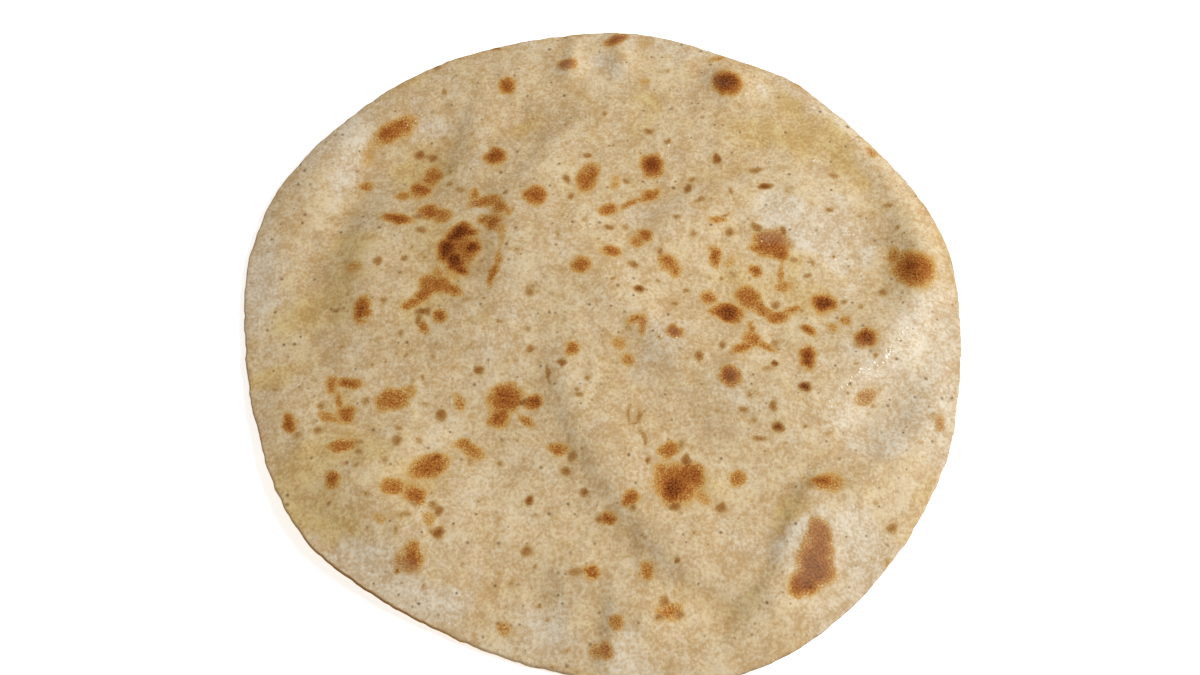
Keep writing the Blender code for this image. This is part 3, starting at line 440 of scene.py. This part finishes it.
def value_noise(x, y, cell, seed):
    """Random heights from -1 to 1 on the corners of square cells, blended smoothly in between."""
    count = int(NOISE_SIDE / cell) + 4
    corners = np.random.default_rng(seed).uniform(-1.0, 1.0, (count, count))
    across = x / cell + count / 2
    along = y / cell + count / 2
    column = np.floor(across).astype(int)
    row = np.floor(along).astype(int)
    s = across - column
    t = along - row
    s = s * s * (3.0 - 2.0 * s)
    t = t * t * (3.0 - 2.0 * t)
    near = corners[row, column] * (1.0 - s) + corners[row, column + 1] * s
    far = corners[row + 1, column] * (1.0 - s) + corners[row + 1, column + 1] * s
    return near * (1.0 - t) + far * t


def rounded_square(a, b):
    """Places in a square from -1 to 1 moved into the unit disc, each square ring becoming a circle."""
    across = np.abs(a) > np.abs(b)
    ring = np.where(across, a, b)
    safe = np.where(ring == 0.0, 1.0, ring)
    turn = np.where(across, math.pi / 4 * b / safe, math.pi / 2 - math.pi / 4 * a / safe)
    return ring * np.cos(turn), ring * np.sin(turn)


def bell_at(bearing, middle, spread, rise):
    """A bell round the edge: rise at the middle bearing, and 1/e of it one spread to either side."""
    away = (bearing - middle + 180.0) % 360.0 - 180.0
    return rise * np.exp(-((away / spread) ** 2))


def edge_radius(bearing):
    """The rolled radius plus one bell for each place where the edge was pushed out."""
    return ROLLED_RADIUS + sum(bell_at(bearing, *swell) for swell in EDGE_SWELLS)


def turned(x, y, patch):
    """Places in a patch's own turned axes, as shares of its half length and half width."""
    middle_x, middle_y, half_length, half_width, turn = patch[:5]
    along = math.radians(turn)
    u = ((x - middle_x) * math.cos(along) + (y - middle_y) * math.sin(along)) / half_length
    v = ((y - middle_y) * math.cos(along) - (x - middle_x) * math.sin(along)) / half_width
    return u, v


def bells(x, y, patches):
    """The sum of one bell for each patch: its last number at its middle, and 1/e of it at its ellipse."""
    total = np.zeros_like(x)
    for patch in patches:
        u, v = turned(x, y, patch)
        total += patch[-1] * np.exp(-u * u - v * v)
    return total


def smooth_run(points):
    """A Catmull-Rom curve through the points, FOLD_STEPS short straights to each span."""
    p = np.array(points, float)
    p = np.vstack([2 * p[0] - p[1], p, 2 * p[-1] - p[-2]])
    t = (np.arange(FOLD_STEPS) / FOLD_STEPS)[:, None]
    spans = []
    for a, b, c, d in zip(p, p[1:], p[2:], p[3:]):
        square_term = 2 * a - 5 * b + 4 * c - d
        cube_term = 3 * b - a - 3 * c + d
        spans.append(0.5 * (2 * b + (c - a) * t + square_term * t**2 + cube_term * t**3))
    return np.vstack(spans + [p[-2:-1]])


def fold_shape(x, y, fold):
    """A bell across the fold's run, wider on one side, that sinks to a third at its two ends.

    Distance, side and place along the run are means over the run's straights, the near ones counting most.
    """
    points, left, right, _ = fold
    run = smooth_run(points)
    step = np.diff(run, axis=0)
    length = np.hypot(step[:, 0], step[:, 1])
    start = np.cumsum(length) - length
    off_x = x[:, None] - run[:-1, 0]
    off_y = y[:, None] - run[:-1, 1]
    t = np.clip((off_x * step[:, 0] + off_y * step[:, 1]) / length**2, 0.0, 1.0)
    squared = (off_x - t * step[:, 0]) ** 2 + (off_y - t * step[:, 1]) ** 2
    share = np.exp((squared.min(axis=1, keepdims=True) - squared) / FOLD_BLEND**2)
    share /= share.sum(axis=1, keepdims=True)
    side = (share * (step[:, 0] * off_y - step[:, 1] * off_x) / length).sum(axis=1)
    along = (share * (start + t * length)).sum(axis=1) / length.sum()
    spread = 0.5 * (left + right) + 0.5 * (left - right) * np.tanh(side / 3.0)
    end = np.clip(np.minimum(along, 1.0 - along) * 4.0, 0.0, 1.0)
    taper = 0.35 + 0.65 * end * end * (3.0 - 2.0 * end)
    return np.exp(-(share * squared).sum(axis=1) / spread**2) * taper


def top_height(x, y, outwards):
    """Height of the top above the table; outwards is 0 in the middle and 1 at the edge.

    Edge thickness, plus a dome, plus the curled edge, plus puffs and folds that flatten towards the edge.
    """
    relief = bells(x, y, PUFFS.values())
    folds = list(FOLDS.values()) + list(PLEATS.values())
    relief += sum(fold[-1] * fold_shape(x, y, fold) for fold in folds)
    relief *= 1.0 - (1.0 - EDGE_SHARE) * outwards**16
    curl = bell_at(np.degrees(np.arctan2(y, x)), *CURLED_EDGE) * outwards**6
    return np.maximum(EDGE_THICKNESS + DOME_RISE * (1.0 - outwards**4) + curl + relief, THINNEST)


def underside_height(top, outwards):
    """One dough thickness below the top, but never below the table."""
    thickness = MIDDLE_THICKNESS + (EDGE_THICKNESS - MIDDLE_THICKNESS) * outwards**4
    return np.maximum(top - thickness, 0.0)


def crumple(x, y):
    """Dents of the baked skin: a sum of value noises, each smaller one lower than the last."""
    return sum(
        height * value_noise(x, y, size, seed)
        for seed, (size, height) in enumerate(CRUMPLE, CRUMPLE_SEED)
    )


def wandered(x, y, wander):
    """Places moved about by value noise, so that what is drawn there gets an uneven outline."""
    moved_x = x.copy()
    moved_y = y.copy()
    for seed, (size, distance) in enumerate(wander, WANDER_SEED):
        moved_x += distance * value_noise(x, y, size, seed)
        moved_y += distance * value_noise(x, y, size, seed + 10)
    return moved_x, moved_y


def patched(amount):
    """Amounts made into patches, with a smooth step between the two PATCH_EDGES."""
    none, full = PATCH_EDGES
    share = np.clip((amount - none) / (full - none), 0.0, 1.0)
    return share * share * (3.0 - 2.0 * share)


def spot_size(spot):
    """The half length of a round spot that covers as much as this one."""
    return math.sqrt(spot[2] * spot[3])


def toasting(x, y, spots):
    """Depth of toasting: the deepest of the spots, each flat inside its ellipse and fading at its edge.

    A spot is 1 / (1 + exp(d / fade)), where d is about the distance outside its ellipse, scaled so that
    its middle has its depth.
    """
    moved_x, moved_y = wandered(x, y, SPOT_WANDER)
    deepest = np.zeros_like(x)
    for spot in spots:
        u, v = turned(moved_x, moved_y, spot)
        size = spot_size(spot)
        fade = SPOT_FADE[0] + SPOT_FADE[1] * size
        outside = np.minimum((np.hypot(u, v) - 1.0) * size / fade, SPOT_END)
        middle = 1.0 + math.exp(-size / fade)
        deepest = np.maximum(deepest, spot[5] * middle / (1.0 + np.exp(outside)))
    return deepest


def strewn_spots(count, sizes, depths):
    """Spots scattered evenly over the disc, the larger ones the fewer."""
    rng = np.random.default_rng(STREWN_SEED)
    reach = ROLLED_RADIUS * np.sqrt(rng.uniform(0.0, STREWN_AREA, count))
    bearing = rng.uniform(0.0, 2.0 * math.pi, count)
    half_length = sizes[0] + (sizes[1] - sizes[0]) * rng.uniform(0.0, 1.0, count) ** 3
    half_width = half_length * rng.uniform(STREWN_WIDTH, 1.0, count)
    turn = rng.uniform(0.0, 180.0, count)
    depth = rng.uniform(*depths, count)
    columns = (reach * np.cos(bearing), reach * np.sin(bearing), half_length, half_width, turn, depth)
    return np.stack(columns, axis=1)


def crease_shade_mask(height):
    """Mask for painted shade: how far each corner lies below the mean of its neighbourhood, as a share of
    CREASE_DEPTH.
    """
    grid = height.reshape(TOP_CELLS + 1, TOP_CELLS + 1)
    mean = np.pad(grid, CREASE_CELLS, mode="edge")
    for axis in (0, 1):
        mean = np.lib.stride_tricks.sliding_window_view(mean, 2 * CREASE_CELLS + 1, axis).mean(axis=-1)
    return np.clip((mean - grid) / CREASE_DEPTH, 0.0, 1.0).ravel()


def disc_grid(cells):
    """A square grid rounded into the unit disc: flat arrays of x, y and distance from the middle."""
    a, b = np.meshgrid(np.linspace(-1.0, 1.0, cells + 1), np.linspace(-1.0, 1.0, cells + 1))
    x, y = rounded_square(a.ravel(), b.ravel())
    return x, y, np.hypot(x, y)


def grid_numbers(cells, first):
    """The corners of a square grid, numbered in rows from first."""
    return first + np.arange((cells + 1) ** 2).reshape(cells + 1, cells + 1)


def grid_faces(cells, first):
    """Four-cornered faces of a numbered square grid, facing up."""
    numbers = grid_numbers(cells, first)
    corners = (numbers[:-1, :-1], numbers[:-1, 1:], numbers[1:, 1:], numbers[1:, :-1])
    return np.stack([c.ravel() for c in corners], axis=1)


def grid_ring(cells, first):
    """Numbers of a square grid's outermost corners, once round towards rising bearings."""
    numbers = grid_numbers(cells, first)
    return np.concatenate([numbers[0, :-1], numbers[:-1, -1], numbers[-1, :0:-1], numbers[:0:-1, 0]])


def nicked_radius(bearing):
    """The edge's radius without the rounded rim, less a value noise of nicks along the edge."""
    along_x = ROLLED_RADIUS * np.cos(np.radians(bearing))
    along_y = ROLLED_RADIUS * np.sin(np.radians(bearing))
    radius = edge_radius(bearing) - RIM_REACH
    for seed, (size, depth) in enumerate(RIM_NICKS, NICK_SEED):
        radius -= depth * (0.5 + 0.5 * value_noise(along_x, along_y, size, seed))
    return radius


def bread_skin():
    """Places in millimetres, faces and looks of the closed skin.

    The top is the disc grid at top_height plus the crumple. From its ring, the rim runs down in RIM_ROWS
    rows on a half ellipse with rounded corners. The underside is a disc grid half as fine, one dough
    thickness lower, joined to the last row by a strip of three triangles to each of its edges.
    """
    unit_x, unit_y, outwards = disc_grid(TOP_CELLS)
    bearing = np.degrees(np.arctan2(unit_y, unit_x))
    nicked = nicked_radius(bearing)
    x = unit_x * nicked
    y = unit_y * nicked
    broad = top_height(x, y, outwards)
    room = (broad.max() - broad - crumple(x, y) * (1.0 - CRUMPLE_LOSS * outwards**8)) / TOP_MARGIN
    z = broad.max() - TOP_MARGIN * np.logaddexp(0.0, room)
    under = underside_height(broad, outwards)

    ring = grid_ring(TOP_CELLS, 0)
    angle = math.pi * np.arange(1, RIM_ROWS + 1)[:, None] / (RIM_ROWS + 1)
    reach = 1.0 + RIM_REACH * np.sin(angle) ** RIM_ROUNDNESS / nicked[ring]
    half = 0.5 * (z[ring] - under[ring])
    rim_x = x[ring] * reach
    rim_y = y[ring] * reach
    rim_z = under[ring] + half + half * np.cos(angle)

    half_cells = TOP_CELLS // 2
    every_other = grid_numbers(TOP_CELLS, 0)[::2, ::2].ravel()
    under_x = x[every_other]
    under_y = y[every_other]
    under_z = under[every_other]

    first_rim = x.size
    first_under = first_rim + rim_x.size
    rows = np.vstack([ring, first_rim + np.arange(rim_x.size).reshape(RIM_ROWS, ring.size)])
    turned_rows = np.roll(rows, -1, axis=1)
    rim_quads = np.stack([rows[:-1], rows[1:], turned_rows[1:], turned_rows[:-1]], axis=-1).reshape(-1, 4)
    low = rows[-1]
    under_ring = grid_ring(half_cells, first_under)
    next_under = np.roll(under_ring, -1)
    strip = np.concatenate([
        np.stack([low[::2], under_ring, low[1::2]], axis=1),
        np.stack([low[1::2], under_ring, next_under], axis=1),
        np.stack([low[1::2], next_under, np.roll(low[::2], -1)], axis=1),
    ])
    faces = (
        grid_faces(TOP_CELLS, 0).tolist()
        + rim_quads.tolist()
        + strip.tolist()
        + grid_faces(half_cells, first_under)[:, ::-1].tolist()
    )

    places = np.stack([
        np.concatenate([x, rim_x.ravel(), under_x]),
        np.concatenate([y, rim_y.ravel(), under_y]),
        np.concatenate([z, rim_z.ravel(), under_z]),
    ], axis=1)
    upper_x = places[:first_under, 0]
    upper_y = places[:first_under, 1]
    # Painted shadow on the side of the rim where the curled edge stands off the table.
    rim_side_shadow = np.sin(angle) * bell_at(bearing[ring], *RIM_SIDE_SHADOW)
    # Painted shade on the side of the rim, all round, strongest halfway down it.
    rim_side_shade = np.broadcast_to(np.sin(angle), rim_side_shadow.shape)
    patch_x, patch_y = wandered(places[:, 0], places[:, 1], PATCH_WANDER)
    radius = edge_radius(np.degrees(np.arctan2(patch_y, patch_x)))
    inner, rim_amount = FLOURY_RIM
    share = np.hypot(patch_x, patch_y) / radius
    rim_flour = rim_amount * np.clip((share - inner) / (1.0 - inner), 0.0, 1.0)
    toasted = [spot for spot in TOASTED if spot_size(spot) >= SMALL_SPOT]
    scorched = [spot for spot in TOASTED if spot_size(spot) < SMALL_SPOT]
    scorched += strewn_spots(*FRECKLES).tolist()
    looks = {
        "toast": np.concatenate([
            toasting(upper_x, upper_y, toasted),
            toasting(under_x, under_y, strewn_spots(*UNDERSIDE_SPOTS)),
        ]),
        # Scorched small spots on the top, and painted shadow on the side of the rim.
        "scorch_and_rim_shadow": np.concatenate([
            np.maximum(toasting(upper_x, upper_y, scorched), np.append(np.zeros_like(x), rim_side_shadow)),
            np.zeros_like(under_x),
        ]),
        # Painted shade in the hollows of the top.
        "crease_shade": np.concatenate([crease_shade_mask(broad), np.zeros(rim_x.size + under_x.size)]),
        # Painted shade on the side of the rim.
        "rim": np.concatenate([np.zeros_like(x), rim_side_shade.ravel(), np.zeros_like(under_x)]),
        "beads_and_glints": bells(places[:, 0], places[:, 1], BEADS_AND_GLINTS),
        "ghee": patched(bells(patch_x, patch_y, GHEE)),
        "flour": patched(bells(patch_x, patch_y, FLOUR) + rim_flour),
    }
    return places, faces, looks


def add_node(tree, kind, settings=None, values=None, links=None):
    """Adds a node, sets its properties and its sockets' values, and links its inputs from other sockets."""
    node = tree.nodes.new("ShaderNode" + kind)
    for name, value in (settings or {}).items():
        setattr(node, name, value)
    for name, value in (values or {}).items():
        node.inputs[name].default_value = value
    for name, source in (links or {}).items():
        tree.links.new(source, node.inputs[name])
    return node


def colour_steps(node, steps):
    """Puts (place, sRGB hex) steps into a colour ramp node."""
    ramp = node.color_ramp
    while len(ramp.elements) < len(steps):
        ramp.elements.new(0.5)
    for element, (place, hex_colour) in zip(ramp.elements, steps):
        element.position = place
        element.color = linear(hex_colour)


def baked_wheat_crust():
    """Wholewheat dough baked on a griddle.

    Starch dries to a matte cream with fine floury grain and flecks of bran. It browns in spots where it
    touched the iron, yellow at their edges and dark brown in their middle, and ghee turns it deeper and
    glossier. Painted shade darkens and warms the hollows of the top and the side of the rim. A painted
    shadow darkens the rim's side where the edge curls up, and ghee drops carry painted highlights.
    """
    material = bpy.data.materials.new("baked_wheat_crust")
    material.use_nodes = True
    tree = material.node_tree
    shader = tree.nodes["Principled BSDF"]
    place = add_node(tree, "TexCoord").outputs["Object"]
    toast, scorch_and_rim_shadow, crease_shade, rim, beads_and_glints, ghee, flour = (
        add_node(tree, "Attribute", {"attribute_name": name}).outputs["Fac"]
        for name in ("toast", "scorch_and_rim_shadow", "crease_shade", "rim", "beads_and_glints", "ghee", "flour")
    )
    clouds, mottle, grain, stains, fray, dents = (
        add_node(
            tree, "TexNoise",
            values={"Scale": per_metre(apart), "Detail": detail, "Roughness": roughness},
            links={"Vector": place},
        ).outputs["Fac"]
        for apart, detail, roughness in CRUST_NOISES.values()
    )

    # Mottling, from broad clouds down to floury grain: 0 pale, 1 tan.
    uneven = add_node(
        tree, "Math", {"operation": "MULTIPLY_ADD"}, {1: 1.2, 2: -2.35}, {0: clouds},
    ).outputs[0]
    uneven = add_node(
        tree, "Math", {"operation": "MULTIPLY_ADD"}, {1: 2.2}, {0: mottle, 2: uneven},
    ).outputs[0]
    uneven = add_node(
        tree, "Math", {"operation": "MULTIPLY_ADD", "use_clamp": True}, {1: 2.3}, {0: grain, 2: uneven},
    ).outputs[0]

    # Where flour clings the crumb is pale, and where ghee soaked in it is stained yellow.
    stained = add_node(
        tree, "Math", {"operation": "MULTIPLY_ADD"}, {1: 0.9, 2: 0.05}, {0: stains},
    ).outputs[0]
    soaked = add_node(
        tree, "Math", {"operation": "MULTIPLY_ADD"}, {1: 0.5}, {0: ghee, 2: stained},
    ).outputs[0]
    dusted = add_node(
        tree, "Math", {"operation": "MULTIPLY_ADD", "use_clamp": True}, {1: -0.5}, {0: flour, 2: soaked},
    ).outputs[0]
    crumb = add_node(tree, "ValToRGB", links={"Fac": dusted})
    colour_steps(crumb, ((0.0, "D8CCB6"), (0.5, "D4C09C"), (1.0, "D2BA85")))

    # Mottling tans the crumb, and painted shade darkens and warms the hollows of the top and the side of the
    # edge.
    tanned = crumb.outputs["Color"]
    for share, tint in ((uneven, "E0CEB6"), (crease_shade, "F9F3E8"), (rim, "C2B6AA")):
        tanned = add_node(
            tree, "Mix", {"data_type": "RGBA", "blend_type": "MULTIPLY"},
            {"B": linear(tint)}, {"Factor": share, "A": tanned},
        ).outputs["Result"]

    # Bran flecks, one to each cell of 2.6 mm, from too small to see up to half a millimetre across.
    bran = add_node(tree, "TexVoronoi", values={"Scale": per_metre(2.6)}, links={"Vector": place})
    fleck_size = add_node(
        tree, "Math", {"operation": "POWER"}, {1: 2.0}, {0: bran.outputs["Color"]},
    ).outputs[0]
    fleck_reach = add_node(
        tree, "Math", {"operation": "MULTIPLY_ADD"}, {1: 0.35, 2: 0.02}, {0: fleck_size},
    ).outputs[0]
    fleck = add_node(
        tree, "MapRange", values={"To Min": 1.0, "To Max": 0.0},
        links={"Value": bran.outputs["Distance"], "From Max": fleck_reach},
    ).outputs["Result"]
    flecked = add_node(
        tree, "Mix", {"data_type": "RGBA"}, {"B": linear("60421A")}, {"Factor": fleck, "A": tanned},
    ).outputs["Result"]

    # Spots are grainy, and fray at their edges.
    fray_share = add_node(
        tree, "MapRange", values={"From Min": 0.02, "From Max": 0.4, "To Max": 1.9}, links={"Value": toast},
    ).outputs["Result"]
    fray_middle = add_node(tree, "Math", {"operation": "SUBTRACT"}, {1: 0.5}, {0: fray}).outputs[0]
    frayed = add_node(
        tree, "Math", {"operation": "MULTIPLY_ADD", "use_clamp": True},
        links={0: fray_middle, 1: fray_share, 2: toast},
    ).outputs[0]
    browned = add_node(tree, "ValToRGB", links={"Fac": frayed})
    colour_steps(browned, (
        (0.08, "C4A573"), (0.20, "BE9552"), (0.33, "B3813D"), (0.47, "A76D2E"),
        (0.62, "9B5B24"), (0.77, "8C4C1C"), (0.92, "763C15"), (1.00, "4F240D"),
    ))

    # Flour dulls the brown under it.
    dusting = add_node(tree, "MapRange", values={"To Max": 0.3}, links={"Value": flour}).outputs["Result"]
    dulled = add_node(
        tree, "Mix", {"data_type": "RGBA"},
        {"B": linear("A08468")}, {"Factor": dusting, "A": browned.outputs["Color"]},
    ).outputs["Result"]
    brown_share = add_node(
        tree, "MapRange", values={"From Min": 0.03, "From Max": 0.18}, links={"Value": frayed},
    ).outputs["Result"]
    toasted = add_node(
        tree, "Mix", {"data_type": "RGBA"}, links={"Factor": brown_share, "A": flecked, "B": dulled},
    ).outputs["Result"]

    # Small blisters scorch from umber to nearly black, and the painted shadow on the rim's side takes the
    # same umber.
    scorch_fray = add_node(tree, "Math", {"operation": "MULTIPLY"}, {1: 2.0}, {0: scorch_and_rim_shadow}).outputs[0]
    scorched = add_node(
        tree, "Math", {"operation": "MULTIPLY_ADD", "use_clamp": True},
        links={0: fray_middle, 1: scorch_fray, 2: scorch_and_rim_shadow},
    ).outputs[0]
    umber = add_node(tree, "ValToRGB", links={"Fac": scorched})
    colour_steps(umber, (
        (0.10, "BD9F6B"), (0.30, "A27A45"), (0.50, "8E5A23"),
        (0.70, "7B430F"), (0.90, "602F06"), (1.00, "2E1A08"),
    ))

    # Umber shows where it is about as deep as the toasting around it, or deeper.
    scorch_share = add_node(
        tree, "MapRange", values={"From Min": 0.04, "From Max": 0.24}, links={"Value": scorched},
    ).outputs["Result"]
    deeper = add_node(tree, "Math", {"operation": "SUBTRACT"}, links={0: scorched, 1: frayed}).outputs[0]
    on_top = add_node(
        tree, "MapRange", values={"From Min": -0.2, "From Max": 0.0}, links={"Value": deeper},
    ).outputs["Result"]
    umber_share = add_node(
        tree, "Math", {"operation": "MULTIPLY"}, links={0: scorch_share, 1: on_top},
    ).outputs[0]
    baked = add_node(
        tree, "Mix", {"data_type": "RGBA"},
        links={"Factor": umber_share, "A": toasted, "B": umber.outputs["Color"]},
    ).outputs["Result"]

    # The browner the crust, the less it reflects.
    dullness = add_node(
        tree, "MapRange",
        values={"From Min": 0.2, "From Max": 0.7, "To Min": 0.2, "To Max": 0.06}, links={"Value": frayed},
    ).outputs["Result"]

    # Ghee gives a satin sheen where it soaked in, and stands in glossy drops up to half a millimetre across,
    # each with a painted highlight: a pale cream colour.
    drops = add_node(tree, "TexVoronoi", values={"Scale": per_metre(0.9)}, links={"Vector": place})
    drop_reach = add_node(
        tree, "Math", {"operation": "MULTIPLY"}, links={0: drops.outputs["Color"], 1: beads_and_glints},
    ).outputs[0]
    drop_reach = add_node(
        tree, "Math", {"operation": "MULTIPLY_ADD"}, {1: 0.9, 2: 0.001}, {0: drop_reach},
    ).outputs[0]
    drop_and_glint = add_node(
        tree, "MapRange", {"interpolation_type": "SMOOTHSTEP"}, {"To Min": 1.0, "To Max": 0.0},
        {"Value": drops.outputs["Distance"], "From Max": drop_reach},
    ).outputs["Result"]
    # Painted highlight: the ghee drops turn pale cream.
    with_painted_glints = add_node(
        tree, "Mix", {"data_type": "RGBA"}, {"B": linear("FBF1DC")}, {"Factor": drop_and_glint, "A": baked},
    ).outputs["Result"]
    tree.links.new(with_painted_glints, shader.inputs["Base Color"])
    satin = add_node(
        tree, "MapRange", values={"To Min": 0.72, "To Max": 0.42}, links={"Value": ghee},
    ).outputs["Result"]
    wet = add_node(tree, "MapRange", values={"From Max": 0.2}, links={"Value": drop_and_glint}).outputs["Result"]
    gloss = add_node(
        tree, "Mix", {"data_type": "FLOAT"}, {"B": 0.12}, {"Factor": wet, "A": satin},
    ).outputs["Result"]
    tree.links.new(gloss, shader.inputs["Roughness"])
    shine = add_node(
        tree, "Mix", {"data_type": "FLOAT"}, {"B": 0.6}, {"Factor": wet, "A": dullness},
    ).outputs["Result"]
    tree.links.new(shine, shader.inputs["Specular IOR Level"])

    # The skin's finest relief: dents under the floury grain, a tenth of a millimetre deep.
    relief = add_node(
        tree, "Bump", values={"Strength": 0.6, "Distance": 0.3 * MM}, links={"Height": dents},
    ).outputs["Normal"]
    domed = add_node(
        tree, "Bump", values={"Distance": 0.1 * MM}, links={"Height": drop_and_glint, "Normal": relief},
    ).outputs["Normal"]
    tree.links.new(domed, shader.inputs["Normal"])
    return material


def white_table():
    """Opal acrylic of a light table: white, without a visible gloss, glowing enough to thin out shadows."""
    material = bpy.data.materials.new("opal_acrylic")
    material.use_nodes = True
    shader = material.node_tree.nodes["Principled BSDF"]
    shader.inputs["Base Color"].default_value = linear("F8F8F8")
    shader.inputs["Roughness"].default_value = 0.9
    shader.inputs["Specular IOR Level"].default_value = 0.2
    shader.inputs["Emission Color"].default_value = linear("FFFFFF")
    shader.inputs["Emission Strength"].default_value = TABLE_GLOW
    return material


def add_object(name, data):
    """Adds an object for a mesh, camera or lamp."""
    thing = bpy.data.objects.new(name, data)
    bpy.context.scene.collection.objects.link(thing)
    return thing


def make_bread():
    """The skin, moved to the frame's origin, kept in the solid's box, with its looks as attributes."""
    places, faces, looks = bread_skin()
    places[:, :2] += ROLLED_MIDDLE
    lowest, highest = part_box("chapati")
    places = np.clip(places * MM, lowest, highest)
    mesh = bpy.data.meshes.new("chapati_crust")
    mesh.from_pydata(places.tolist(), [], faces)
    for name, values in looks.items():
        mesh.attributes.new(name, "FLOAT", "POINT").data.foreach_set("value", values.astype(np.float32))
    mesh.materials.append(baked_wheat_crust())
    mesh.shade_smooth()
    bread = add_object("chapati_crust", mesh)
    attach(bread, "root")
    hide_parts("chapati")


def make_table():
    """A flat square under the bread, far wider than the view."""
    side = TABLE_HALF_SIDE * MM
    mesh = bpy.data.meshes.new("table")
    corners = [(-side, -side, 0.0), (side, -side, 0.0), (side, side, 0.0), (-side, side, 0.0)]
    mesh.from_pydata(corners, [], [(0, 1, 2, 3)])
    mesh.materials.append(white_table())
    table = add_object("table", mesh)


def aim(thing, target, elevation, bearing, distance):
    """Puts a camera or lamp away from the target, up by elevation and out towards bearing, facing it."""
    flat = math.cos(math.radians(elevation))
    away = (
        flat * math.cos(math.radians(bearing)),
        flat * math.sin(math.radians(bearing)),
        math.sin(math.radians(elevation)),
    )
    thing.location = [(t + distance * a) * MM for t, a in zip(target, away)]
    thing.rotation_euler = (math.radians(90.0 - elevation), 0.0, math.radians(90.0 + bearing))


def make_camera():
    """A normal lens on the near side, looking down at the bread."""
    data = bpy.data.cameras.new("camera")
    data.lens = CAMERA_LENS
    data.sensor_width = CAMERA_SENSOR
    data.clip_start = 0.01
    camera = add_object("camera", data)
    aim(camera, CAMERA_AIM, CAMERA_ELEVATION, -90.0, CAMERA_DISTANCE)
    bpy.context.scene.camera = camera


def make_light():
    """A soft window low on the right, and even light from the whole room."""
    data = bpy.data.lights.new("window", "AREA")
    data.size = WINDOW_SIZE * MM
    data.energy = WINDOW_POWER
    data.color = linear(WINDOW_COLOUR)[:3]
    window = add_object("window", data)
    aim(window, (0.0, 0.0, 0.0), WINDOW_ELEVATION, WINDOW_BEARING, WINDOW_DISTANCE)
    world = bpy.data.worlds.new("room")
    world.use_nodes = True
    world.node_tree.nodes["Background"].inputs["Color"].default_value = linear(ROOM_COLOUR)
    world.node_tree.nodes["Background"].inputs["Strength"].default_value = ROOM_LIGHT
    bpy.context.scene.world = world
    bpy.context.scene.view_settings.view_transform = "Standard"


make_bread()
make_table()
make_camera()
make_light()
